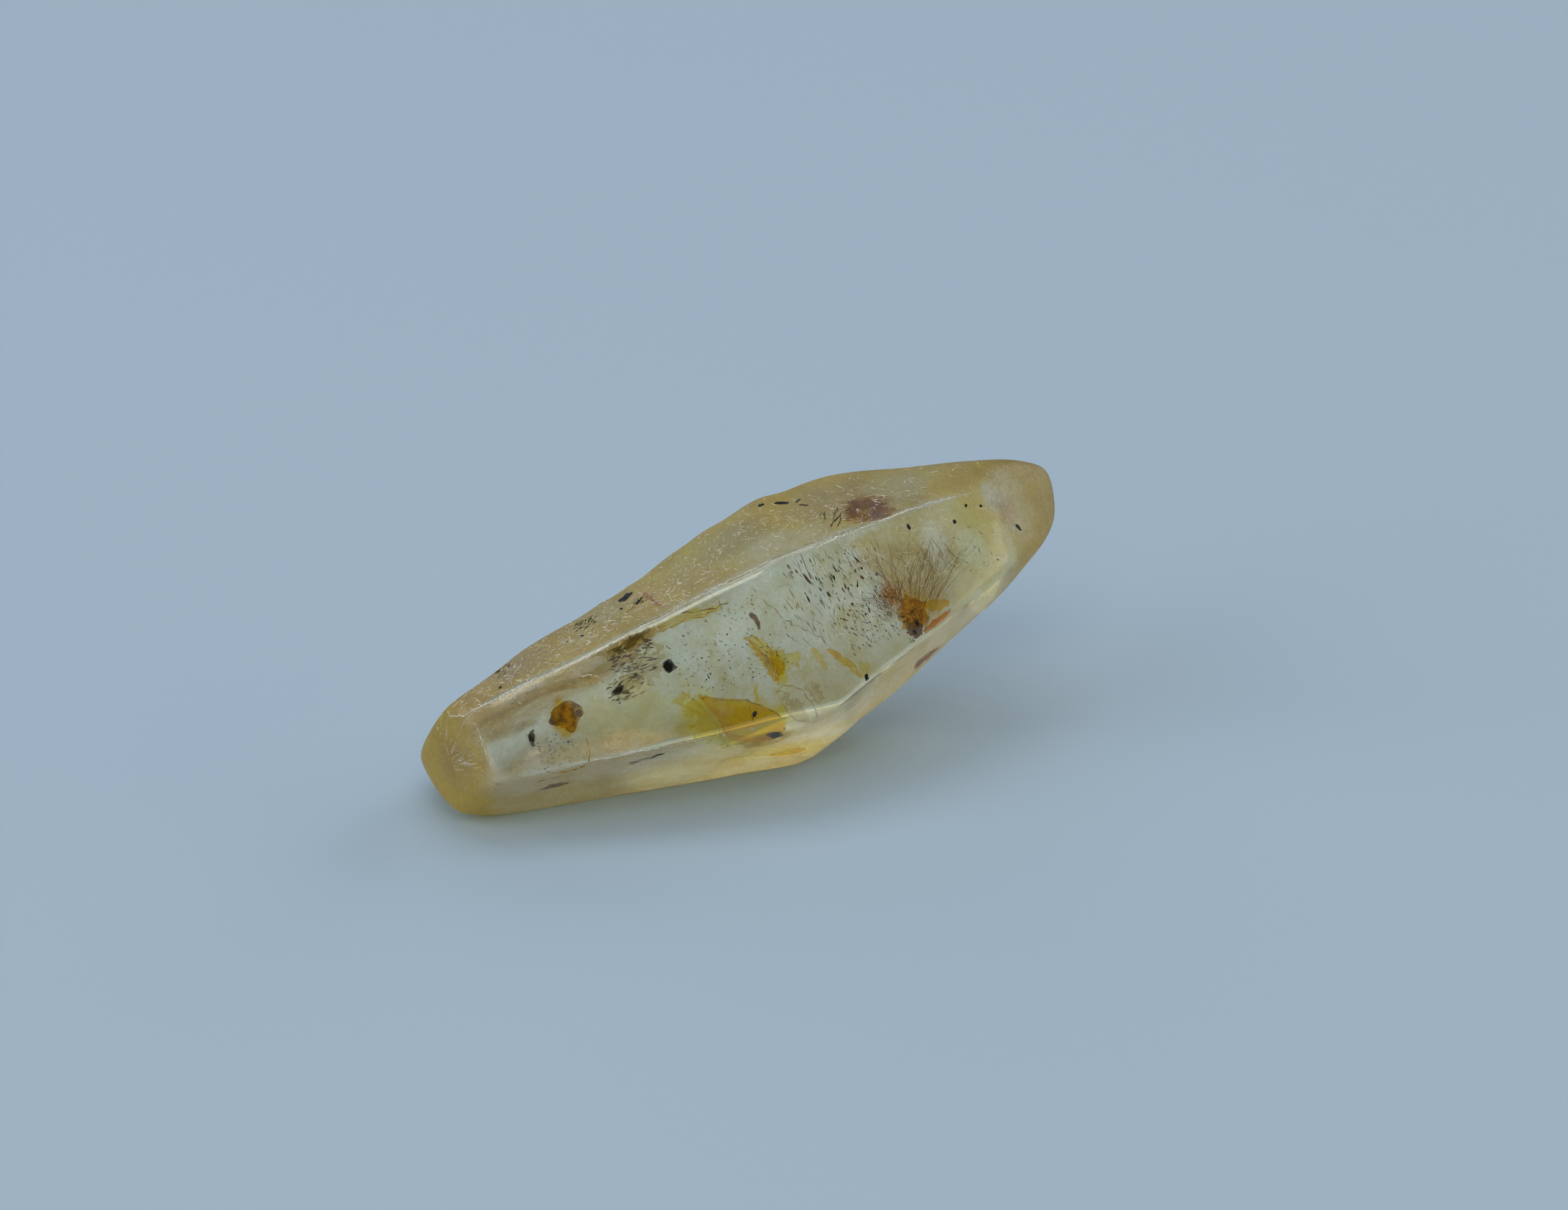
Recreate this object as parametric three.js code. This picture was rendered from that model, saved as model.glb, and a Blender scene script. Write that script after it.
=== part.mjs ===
// A waterworn sapphire crystal: one long six-sided double pyramid with blunt, rounded tips.
// It lies on the lower face of its left pyramid, so the long axis climbs towards +X.
// Millimetres, +Z up, resting face on Z = 0, origin under the middle of the stone's box.
import * as THREE from "three";

// ---- where the crystal lies
const AXIS_CLIMB = 13; // degrees that the long axis rises towards +X
const CENTRE = new THREE.Vector3(-1.125, -0.275, 4.2); // middle of the crystal's waist
const REST_CUT = 0.2; // how far the resting face is worn into the plane of its growth face

// ---- the faces. turn is the angle round the long axis (0 front, 90 top, 180 back),
// lean is how far the face looks to the right tip (+) or the left tip (-), in degrees,
// and reach is the distance of its plane from the centre.
const FACES = [
  { name: "left top", turn: 89, lean: -7, reach: 3.07 },
  { name: "left front", turn: 28.5, lean: -8.5, reach: 2.86 },
  { name: "left low", turn: -39.5, lean: -11.5, reach: 3.21 },
  { name: "left rest", turn: -90, lean: -AXIS_CLIMB, reach: CENTRE.z + REST_CUT },
  { name: "left back", turn: 142, lean: -10, reach: 2.92 },
  { name: "left under", turn: 206, lean: -11, reach: 5.4 },
  { name: "right top", turn: 84.5, lean: 9, reach: 3.67 },
  { name: "right front", turn: 29.5, lean: 10.5, reach: 3.36 },
  { name: "right low", turn: -33.5, lean: 16, reach: 4.27 },
  { name: "right keel", turn: -65, lean: 19, reach: 4.69 },
  { name: "right back", turn: 150.5, lean: 0.5, reach: 3.22 },
  { name: "right shoulder", turn: 130, lean: 17.5, reach: 5.0 },
  { name: "right under", turn: 208, lean: 14, reach: 4.1 },
  { name: "left tip facet", turn: 28.6, lean: -57.9, reach: 7.99 },
  { name: "left end", turn: 167.3, lean: -72.4, reach: 9.86 },
  { name: "left toe", turn: -104.8, lean: -44.4, reach: 7.87 },
  { name: "right tip facet", turn: 29.4, lean: 38.6, reach: 7.08 },
  { name: "right end", turn: 101.1, lean: 59.9, reach: 11.83 },
  { name: "right nose", turn: -21.4, lean: 56.7, reach: 9.82 },
];

// ---- wear. A higher sharpness leaves a crisper edge; the tips are rolled rounder.
// The two numbers for where a tip begins and ends are cosines to the long axis.
const WAIST_SHARPNESS = 64;
const TIP_SHARPNESS = 24;
const TIP_BEGINS = 0.8;
const TIP_ENDS = 0.98;

// ---- lumps (height over 0) and hollows (under 0) worn into the faces.
// along is the place on the long axis, long and wide are the half sizes.
const LUMPS = [
  { along: -5.8, turn: 106, long: 1.0, wide: 1.4, height: 0.12 },
  { along: -3.9, turn: 104, long: 0.6, wide: 1.2, height: -0.08 },
  { along: -1.7, turn: 108, long: 0.8, wide: 1.4, height: -0.1 },
  { along: 0.8, turn: 106, long: 0.6, wide: 1.2, height: 0.08 },
  { along: 3.7, turn: 115, long: 0.7, wide: 1.0, height: -0.1 },
  { along: 8.0, turn: -50, long: 1.5, wide: 1.2, height: 0.16 },
  { along: 10.2, turn: -30, long: 1.0, wide: 1.4, height: -0.14 },
  { along: 2.9, turn: -50, long: 1.1, wide: 1.2, height: -0.16 },
  { along: 1.5, turn: -68, long: 0.5, wide: 0.8, height: 0.1 },
  { along: -5.2, turn: 22, long: 1.7, wide: 1.1, height: -0.05 },
  { along: -3.6, turn: 38, long: 0.8, wide: 0.5, height: -0.06 },
  { along: 5.5, turn: 74, long: 0.8, wide: 0.5, height: -0.07 },
  { along: -6.0, turn: 168, long: 1.5, wide: 1.3, height: -0.14 },
  { along: 1.2, turn: 190, long: 1.8, wide: 1.2, height: 0.12 },
  { along: 6.5, turn: 175, long: 1.2, wide: 1.5, height: -0.14 },
  { along: 5.0, turn: -120, long: 1.4, wide: 1.0, height: -0.12 },
];

// ---- growth ledges: each drops sharply on the right-hand side of its line, going
// from its start to its end, and the drop fades out over the fade distance.
const LEDGES = [
  { start: [-8.4, 60], end: [-3.2, 53], drop: 0.05, fade: 0.5 },
  { start: [-1.2, -58], end: [1.4, -72], drop: 0.1, fade: 0.5 },
  { start: [-4.6, 126], end: [-2.6, 182], drop: 0.14, fade: 1.6 },
  { start: [3.6, 205], end: [5.4, 150], drop: 0.13, fade: 1.4 },
  { start: [7.4, -12], end: [8.3, -66], drop: 0.07, fade: 0.9 },
];
const LEDGE_EDGE = 0.3; // distance over which a ledge drops

// ---- pits: small steep dents left by etching and knocks
const PITS = [
  { along: -3.4, turn: 55, size: 0.6, depth: 0.08 },
  { along: 5.4, turn: 79, size: 0.6, depth: 0.1 },
  { along: -2.6, turn: 103, size: 0.6, depth: 0.1 },
  { along: -7.0, turn: 26, size: 0.55, depth: 0.08 },
  { along: 2.6, turn: 140, size: 0.7, depth: 0.14 },
  { along: -1.4, turn: 200, size: 0.8, depth: 0.14 },
  { along: 7.6, turn: 200, size: 0.7, depth: 0.12 },
];
const WAVE = 0.018; // height of the slow waviness that rolling leaves all over

// ---- how finely the surface is divided
const AROUND = 76;
const RINGS = 64;
const HALF_LENGTH = 10.6;
const HALF_WIDTH = 4;

const climb = THREE.MathUtils.degToRad(AXIS_CLIMB);
const alongAxis = new THREE.Vector3(Math.cos(climb), 0, Math.sin(climb));
const frontAxis = new THREE.Vector3(0, -1, 0);
const topAxis = new THREE.Vector3(-Math.sin(climb), 0, Math.cos(climb));

// A direction from its share along, to the front and to the top of the crystal.
function crystalDirection(along, front, top) {
  return new THREE.Vector3()
    .addScaledVector(alongAxis, along)
    .addScaledVector(frontAxis, front)
    .addScaledVector(topAxis, top);
}

const facePlanes = FACES.map(({ turn, lean, reach }) => {
  const t = THREE.MathUtils.degToRad(turn);
  const l = THREE.MathUtils.degToRad(lean);
  const normal = crystalDirection(Math.sin(l), Math.cos(l) * Math.cos(t), Math.cos(l) * Math.sin(t));
  return { normal, reach };
});

const total = (values) => values.reduce((sum, value) => sum + value, 0);

// How far the stone reaches in a direction: the nearest face plane, with the meeting
// of two planes rounded by a power mean of all of them.
function roundedReach(direction) {
  const tip = THREE.MathUtils.smoothstep(
    Math.abs(direction.dot(alongAxis)), TIP_BEGINS, TIP_ENDS);
  const sharpness = THREE.MathUtils.lerp(WAIST_SHARPNESS, TIP_SHARPNESS, tip);
  const closeness = facePlanes.map(({ normal, reach }) => Math.max(0, direction.dot(normal) / reach));
  const nearest = Math.max(...closeness);
  const crowding = total(closeness.map((c) => Math.pow(c / nearest, sharpness)));
  return Math.pow(crowding, -1 / sharpness) / nearest;
}

// Width on the surface between two angles round the axis, at a distance from the axis.
function widthBetween(turn, otherTurn, girth) {
  const degrees = THREE.MathUtils.euclideanModulo(turn - otherTurn + 180, 360) - 180;
  return girth * THREE.MathUtils.degToRad(degrees);
}

// In the three functions below, along, turn and girth place a point of the surface:
// along the axis, round it and out from it.
function lumpHeight(lump, along, turn, girth) {
  const x = (along - lump.along) / lump.long;
  const y = widthBetween(turn, lump.turn, girth) / lump.wide;
  return lump.height * Math.exp(-x * x - y * y);
}

function pitDepth(pit, along, turn, girth) {
  const distance = Math.hypot(along - pit.along, widthBetween(turn, pit.turn, girth)) / pit.size;
  return distance < 1 ? pit.depth * (1 - distance * distance) : 0;
}

function ledgeDrop(ledge, along, turn, girth) {
  const lineX = ledge.end[0] - ledge.start[0];
  const lineY = widthBetween(ledge.end[1], ledge.start[1], girth);
  const length = Math.hypot(lineX, lineY);
  const x = along - ledge.start[0];
  const y = widthBetween(turn, ledge.start[1], girth);
  const onLine = (x * lineX + y * lineY) / (length * length);
  const side = (x * lineY - y * lineX) / length;
  const ends = THREE.MathUtils.smoothstep(onLine, -0.08, 0.08)
    * THREE.MathUtils.smoothstep(1 - onLine, -0.08, 0.08);
  const edge = THREE.MathUtils.smoothstep(side, 0, LEDGE_EDGE);
  return ledge.drop * ends * edge * Math.exp(-Math.max(0, side) / ledge.fade);
}

function waviness(point) {
  return WAVE * (Math.sin(1.9 * point.x + 0.7) * Math.sin(2.3 * point.y + 1.1)
    + Math.sin(1.3 * point.z - 2.1 * point.x) * Math.sin(1.7 * point.y + 0.4));
}

// The surface point in a direction from the centre.
function surfacePoint(direction) {
  const reach = roundedReach(direction);
  const point = direction.clone().multiplyScalar(reach);
  const front = point.dot(frontAxis);
  const top = point.dot(topAxis);
  const turn = THREE.MathUtils.radToDeg(Math.atan2(top, front));
  const place = [point.dot(alongAxis), turn, Math.hypot(front, top)];
  const height = waviness(point)
    + total(LUMPS.map((lump) => lumpHeight(lump, ...place)))
    - total(PITS.map((pit) => pitDepth(pit, ...place)))
    - total(LEDGES.map((ledge) => ledgeDrop(ledge, ...place)));
  point.copy(CENTRE).addScaledVector(direction, reach + height);
  point.z = Math.max(point.z, 0); // worn flat where it rests
  return point;
}

// A long round body whose points are moved out or in, each along its own
// direction from the centre, onto the crystal's surface.
function crystalGeometry() {
  const geometry = new THREE.SphereGeometry(1, AROUND, RINGS);
  const position = geometry.attributes.position;
  for (let i = 0; i < position.count; i += 1) {
    const direction = crystalDirection(
      HALF_LENGTH * position.getY(i),
      HALF_WIDTH * position.getX(i),
      HALF_WIDTH * position.getZ(i),
    ).normalize();
    const point = surfacePoint(direction);
    position.setXYZ(i, point.x, point.y, point.z);
  }
  geometry.computeVertexNormals();
  return geometry;
}

const sapphire = new THREE.MeshStandardMaterial({ color: 0xd2c9a0, roughness: 0.25, metalness: 0 });

const crystal = new THREE.Mesh(crystalGeometry(), sapphire);
crystal.name = "sapphire_crystal";

const part = new THREE.Group();
part.add(crystal);
export default part;
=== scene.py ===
import math

import bpy
import numpy as np
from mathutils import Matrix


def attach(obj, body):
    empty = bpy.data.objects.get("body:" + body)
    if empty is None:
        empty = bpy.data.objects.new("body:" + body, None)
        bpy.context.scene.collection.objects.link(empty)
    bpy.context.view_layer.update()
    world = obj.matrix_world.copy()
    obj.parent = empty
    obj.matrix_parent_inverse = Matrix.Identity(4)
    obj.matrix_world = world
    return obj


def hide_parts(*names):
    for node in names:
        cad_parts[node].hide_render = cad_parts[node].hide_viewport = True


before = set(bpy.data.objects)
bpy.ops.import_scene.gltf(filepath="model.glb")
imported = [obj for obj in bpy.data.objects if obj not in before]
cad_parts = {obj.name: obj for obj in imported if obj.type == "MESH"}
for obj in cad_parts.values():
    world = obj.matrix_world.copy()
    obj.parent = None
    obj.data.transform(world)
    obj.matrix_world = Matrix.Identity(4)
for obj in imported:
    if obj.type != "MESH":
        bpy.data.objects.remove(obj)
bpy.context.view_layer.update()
MM = 0.001  # sizes below are in millimetres

# ---- Camera, floor and light
# The crystal is seen from the front, a little from its left and from above, from 300 mm,
# as through a long close-up lens. It stands on a pale matt card under soft light.
CAMERA_AZIMUTH = math.radians(24)
CAMERA_CLIMB = math.radians(28)
CAMERA_DISTANCE = 300
AIM_POINT = (1.023, 4.68)  # how far right of the stone's origin and above it the lens points
LENS_PER_SENSOR = 6.195
SENSOR = 36

back = np.array([
    -math.sin(CAMERA_AZIMUTH) * math.cos(CAMERA_CLIMB),
    -math.cos(CAMERA_AZIMUTH) * math.cos(CAMERA_CLIMB),
    math.sin(CAMERA_CLIMB)])
right = np.array([math.cos(CAMERA_AZIMUTH), -math.sin(CAMERA_AZIMUTH), 0])
above = np.cross(back, right)
lens_place = back * CAMERA_DISTANCE + right * AIM_POINT[0] + above * AIM_POINT[1]
camera_data = bpy.data.cameras.new("camera")
camera_data.sensor_width = SENSOR
camera_data.lens = LENS_PER_SENSOR * SENSOR
camera_data.clip_start = 0.01
camera = bpy.data.objects.new("camera", camera_data)
camera.location = lens_place * MM
camera.rotation_euler = (math.pi / 2 - CAMERA_CLIMB, 0, -CAMERA_AZIMUTH)
bpy.context.collection.objects.link(camera)
bpy.context.scene.camera = camera
bpy.context.scene.view_settings.view_transform = "Standard"


def new_material(name):
    """An empty material, with its node tree and its Principled shader."""
    material = bpy.data.materials.new(name)
    material.use_nodes = True
    return material, material.node_tree, material.node_tree.nodes["Principled BSDF"]


FLOOR_HALF = 700
AIR_FILM = 0.04  # the stone touches the card at a few points only, so air lies under it
floor_mesh = bpy.data.meshes.new("floor")
floor_mesh.from_pydata(
    [(x * FLOOR_HALF * MM, y * FLOOR_HALF * MM, -AIR_FILM * MM)
     for x, y in ((-1, -1), (1, -1), (1, 1), (-1, 1))],
    [], [(0, 1, 2, 3)])
floor = bpy.data.objects.new("floor", floor_mesh)
bpy.context.collection.objects.link(floor)
card, _, card_shader = new_material("pale_card")
card_shader.inputs["Base Color"].default_value = (0.40, 0.52, 0.655, 1)
card_shader.inputs["Roughness"].default_value = 0.8
floor_mesh.materials.append(card)

world = bpy.data.worlds.new("studio")
world.use_nodes = True
world.node_tree.nodes["Background"].inputs["Color"].default_value = (0.86, 0.93, 1.0, 1)
world.node_tree.nodes["Background"].inputs["Strength"].default_value = 0.06
bpy.context.scene.world = world

CRYSTAL_MIDDLE = np.array([0, 0, 4])  # where every soft box points
SOFT_BOXES = {  # name: place in millimetres, side, power, colour
    "ceiling": ((-60, -110, 430), 700, 0.62, (0.84, 0.94, 1.0)),
    "key_panel": ((15, 55, 340), 200, 0.16, (1.0, 0.98, 0.93)),
    "front_panel": ((-150, -320, 400), 280, 0.66, (1.0, 0.91, 0.74)),
    "back_panel": ((0, 430, 200), 400, 0.38, (0.84, 0.94, 1.0)),
    "left_panel": ((-430, 30, 200), 400, 1.0, (0.92, 0.97, 1.0)),
    "right_panel": ((430, 60, 200), 400, 0.8, (0.92, 0.97, 1.0)),
    "low_left_panel": ((-370, -270, 110), 220, 0.15, (1.0, 0.80, 0.52)),
    "low_right_panel": ((390, -270, 110), 220, 0.26, (1.0, 0.84, 0.60))}
for lamp_name, (lamp_place, side, power, lamp_colour) in SOFT_BOXES.items():
    lamp = bpy.data.lights.new(lamp_name, "AREA")
    lamp.shape = "SQUARE"
    lamp.size = side * MM
    lamp.energy = power
    lamp.color = lamp_colour
    holder = bpy.data.objects.new(lamp_name, lamp)
    holder.location = np.array(lamp_place) * MM
    towards = CRYSTAL_MIDDLE - np.array(lamp_place)
    holder.rotation_euler = (math.atan2(math.hypot(towards[0], towards[1]), -towards[2]), 0,
                             math.atan2(-towards[0], towards[1]))
    bpy.context.collection.objects.link(holder)

# ---- The crystal
# One long six-sided double pyramid of sapphire, rolled in a river until its edges and
# tips were round. It lies on the lower face of its left pyramid, which is worn flat.
# Its outer surface is the soft meeting of nineteen face planes, with lumps, ledges and pits.
AXIS_CLIMB = math.radians(13)
CENTRE = np.array([-1.125, -0.275, 4.2])
REST_CUT = 0.2
FACES = [  # turn round the axis (0 front, 90 top), lean to the right tip, distance from the centre
    (89, -7, 3.07), (28.5, -8.5, 2.86), (-39.5, -11.5, 3.21), (-90, -13, CENTRE[2] + REST_CUT),
    (142, -10, 2.92), (206, -11, 5.4),
    (84.5, 9, 3.67), (29.5, 10.5, 3.36), (-33.5, 16, 4.27), (-65, 19, 4.69),
    (150.5, 0.5, 3.22), (130, 17.5, 5.0), (208, 14, 4.1),
    (28.6, -57.9, 7.99), (167.3, -72.4, 9.86), (-104.8, -44.4, 7.87),
    (29.4, 38.6, 7.08), (101.1, 59.9, 11.83), (-21.4, 56.7, 9.82)]
WAIST_SHARPNESS, TIP_SHARPNESS = 64, 24
TIP_BEGINS, TIP_ENDS = 0.8, 0.98
LUMPS = [  # along the axis, turn, half length, half width, height
    (-5.8, 106, 1.0, 1.4, 0.12), (-3.9, 104, 0.6, 1.2, -0.08), (-1.7, 108, 0.8, 1.4, -0.1),
    (0.8, 106, 0.6, 1.2, 0.08), (3.7, 115, 0.7, 1.0, -0.1), (8.0, -50, 1.5, 1.2, 0.16),
    (10.2, -30, 1.0, 1.4, -0.14), (2.9, -50, 1.1, 1.2, -0.16), (1.5, -68, 0.5, 0.8, 0.1),
    (-5.2, 22, 1.7, 1.1, -0.05), (-3.6, 38, 0.8, 0.5, -0.06), (5.5, 74, 0.8, 0.5, -0.07),
    (-6.0, 168, 1.5, 1.3, -0.14), (1.2, 190, 1.8, 1.2, 0.12), (6.5, 175, 1.2, 1.5, -0.14),
    (5.0, -120, 1.4, 1.0, -0.12)]
LEDGES = [  # start along, start turn, end along, end turn, drop, fade
    (-8.4, 60, -3.2, 53, 0.05, 0.5), (-1.2, -58, 1.4, -72, 0.1, 0.5), (-4.6, 126, -2.6, 182, 0.14, 1.6),
    (3.6, 205, 5.4, 150, 0.13, 1.4), (7.4, -12, 8.3, -66, 0.07, 0.9)]
LEDGE_EDGE = 0.12
PITS = [  # along, turn, size, depth
    (-3.4, 55, 0.6, 0.08), (5.4, 79, 0.6, 0.1), (-2.6, 103, 0.6, 0.1), (-7.0, 26, 0.55, 0.08),
    (2.6, 140, 0.7, 0.14), (-1.4, 200, 0.8, 0.14), (7.6, 200, 0.7, 0.12)]
WAVE = 0.018
AROUND, RINGS = 308, 320
HALF_LENGTH, HALF_WIDTH = 10.6, 4

along_axis = np.array([math.cos(AXIS_CLIMB), 0, math.sin(AXIS_CLIMB)])
front_axis = np.array([0, -1, 0])
top_axis = np.array([-math.sin(AXIS_CLIMB), 0, math.cos(AXIS_CLIMB)])
crystal_axes = np.array([along_axis, front_axis, top_axis])


def smooth_step(x, low, high):
    """0 below low, 1 above high and 3t^2 - 2t^3 between, where t runs from 0 to 1."""
    t = np.clip((x - low) / (high - low), 0, 1)
    return t * t * (3 - 2 * t)


def width_between(turn, other, girth):
    """Girth times the angle from other to turn, taken the short way round, in radians."""
    return girth * np.radians((turn - other + 180) % 360 - 180)


face_turns, face_leans, face_reaches = np.array(FACES, float).T
face_normals = np.stack([
    np.sin(np.radians(face_leans)),
    np.cos(np.radians(face_leans)) * np.cos(np.radians(face_turns)),
    np.cos(np.radians(face_leans)) * np.sin(np.radians(face_turns))], -1) @ crystal_axes


def rounded_reach(directions):
    """One over the power mean of every plane's nearness, which is the direction's share of
    the plane's normal over the plane's distance. The power falls towards the tips."""
    tip = smooth_step(np.abs(directions @ along_axis), TIP_BEGINS, TIP_ENDS)
    sharpness = WAIST_SHARPNESS + (TIP_SHARPNESS - WAIST_SHARPNESS) * tip
    nearness = np.maximum(directions @ face_normals.T / face_reaches, 0)
    nearest = nearness.max(-1)
    crowding = ((nearness / nearest[..., None]) ** sharpness[..., None]).sum(-1)
    return crowding ** (-1 / sharpness) / nearest


def relief(offsets):
    """Height over the faces: bell-shaped lumps, dish-shaped pits, ledges that drop sharply
    on one side of a line and fade out, and a slow waviness from products of sines."""
    along, front, top = offsets @ along_axis, offsets @ front_axis, offsets @ top_axis
    turn, girth = np.degrees(np.arctan2(top, front)), np.hypot(front, top)
    x, y, z = offsets[..., 0], offsets[..., 1], offsets[..., 2]
    height = WAVE * (np.sin(1.9 * x + 0.7) * np.sin(2.3 * y + 1.1)
                     + np.sin(1.3 * z - 2.1 * x) * np.sin(1.7 * y + 0.4))
    for place, angle, long, wide, rise in LUMPS:
        height += rise * np.exp(-((along - place) / long) ** 2
                                - (width_between(turn, angle, girth) / wide) ** 2)
    for place, angle, size, depth in PITS:
        distance = np.hypot(along - place, width_between(turn, angle, girth)) / size
        height -= depth * np.maximum(0, 1 - distance ** 2)
    for x0, turn0, x1, turn1, drop, fade in LEDGES:
        line_x, line_y = x1 - x0, width_between(turn1, turn0, girth)
        length = np.hypot(line_x, line_y)
        px, py = along - x0, width_between(turn, turn0, girth)
        on_line = (px * line_x + py * line_y) / length ** 2
        side = (px * line_y - py * line_x) / length
        ends = smooth_step(on_line, -0.08, 0.08) * smooth_step(1 - on_line, -0.08, 0.08)
        edge = smooth_step(side, 0, LEDGE_EDGE)
        height -= drop * ends * edge * np.exp(-np.maximum(0, side) / fade)
    return height


def crystal_surface(u, v, skin=0.0):
    """Point at u, v of a long round body (u from the left tip to the right, v round the
    axis), moved along its own direction from the centre to the worn face planes, less skin."""
    directions = (-HALF_LENGTH * np.cos(u)[..., None] * along_axis
                  + HALF_WIDTH * (np.sin(u) * np.cos(v))[..., None] * front_axis
                  + HALF_WIDTH * (np.sin(u) * np.sin(v))[..., None] * top_axis)
    directions /= np.linalg.norm(directions, axis=-1, keepdims=True)
    reach = rounded_reach(directions)
    reach += relief(directions * reach[..., None]) - skin
    points = CENTRE + directions * reach[..., None]
    points[..., 2] = np.maximum(points[..., 2], 0)
    return points


def closed_faces(count, around):
    """Faces over a count of rings: quads between neighbouring rings, and a fan from each end
    ring to its tip. The two tips are the points that follow the last ring."""
    ring = np.arange(count - 1)[:, None] * around
    this = np.arange(around)
    after = (this + 1) % around
    quads = np.stack([ring + this, ring + around + this, ring + around + after, ring + after], -1)
    last = (count - 1) * around
    fans = np.concatenate([
        np.stack([np.full(around, count * around), this, after], -1),
        np.stack([np.full(around, count * around + 1), last + after, last + this], -1)])
    return quads.reshape(-1, 4), fans


def closed_grid_mesh(name, rings, left_tip, right_tip):
    """One skin through rings of points, in millimetres, from a left tip to a right one."""
    quads, fans = closed_faces(*rings.shape[:2])
    points = np.concatenate([rings.reshape(-1, 3), [left_tip, right_tip]])
    mesh = bpy.data.meshes.new(name)
    mesh.from_pydata(points * MM, [], quads.tolist() + fans.tolist())
    mesh.shade_smooth()
    return mesh


def add_piece(name, mesh, material):
    """Puts a finished mesh in its material on the stone's one body."""
    mesh.materials.append(material)
    piece = bpy.data.objects.new(name, mesh)
    bpy.context.collection.objects.link(piece)
    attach(piece, "root")
    return piece


u = np.linspace(0, math.pi, RINGS + 1)[1:-1]
v = np.linspace(0, 2 * math.pi, AROUND, endpoint=False)
skin_rings = crystal_surface(*np.meshgrid(u, v, indexing="ij"))
tips = crystal_surface(np.array([0, math.pi]), np.array([0.0, 0.0]))
crystal_mesh = closed_grid_mesh("crystal", skin_rings, tips[0], tips[1])

# The skin is clear on the front and the back, and frosted by etching and wear on the top
# band, the low strip and both tips. Iron in the etched skin stains it straw to tan.
UPPER_RIDGE = [(-8.7, 70), (-6.6, 68), (-4.2, 63), (-1.5, 64), (0.4, 64), (3.0, 63), (5.2, 67), (9, 70)]
LOWER_RIDGE = [(-8.1, -9), (-6, -4), (-4, -9), (-2, -13), (-0.7, -27), (1.3, -32), (3, -14), (9, -6)]
CLEAR, CLEAR_FROST = (1.0, 1.0, 0.90), 0.12
TOP_BAND_ENDS, STRIP_ENDS = (125, 168), (112, 145)  # turns, up and down, between which the back begins
LEFT_TIP_BEGINS, LEFT_TIP_FULL = 8.2, 8.6  # how far out along the axis
RIGHT_TIP_BEGINS, RIGHT_TIP_FULL = 9.0, 9.5
GLOSS_AND_HIGHLIGHT_WIDTH, POLISHED_FROST = 0.06, 0.08  # of the upper ridge, rubbed glossy and painted white there as a highlight
BANDS = {  # colour and frost of the large parts of the skin
    "top": ((0.93, 0.71, 0.12), 0.42),
    "strip": ((0.89, 0.76, 0.39), 0.36),
    "back": ((1.0, 0.99, 0.82), 0.20),
    "left_tip": ((0.90, 0.70, 0.04), 0.50),
    "right_tip": ((0.82, 0.58, 0.08), 0.46)}
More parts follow.
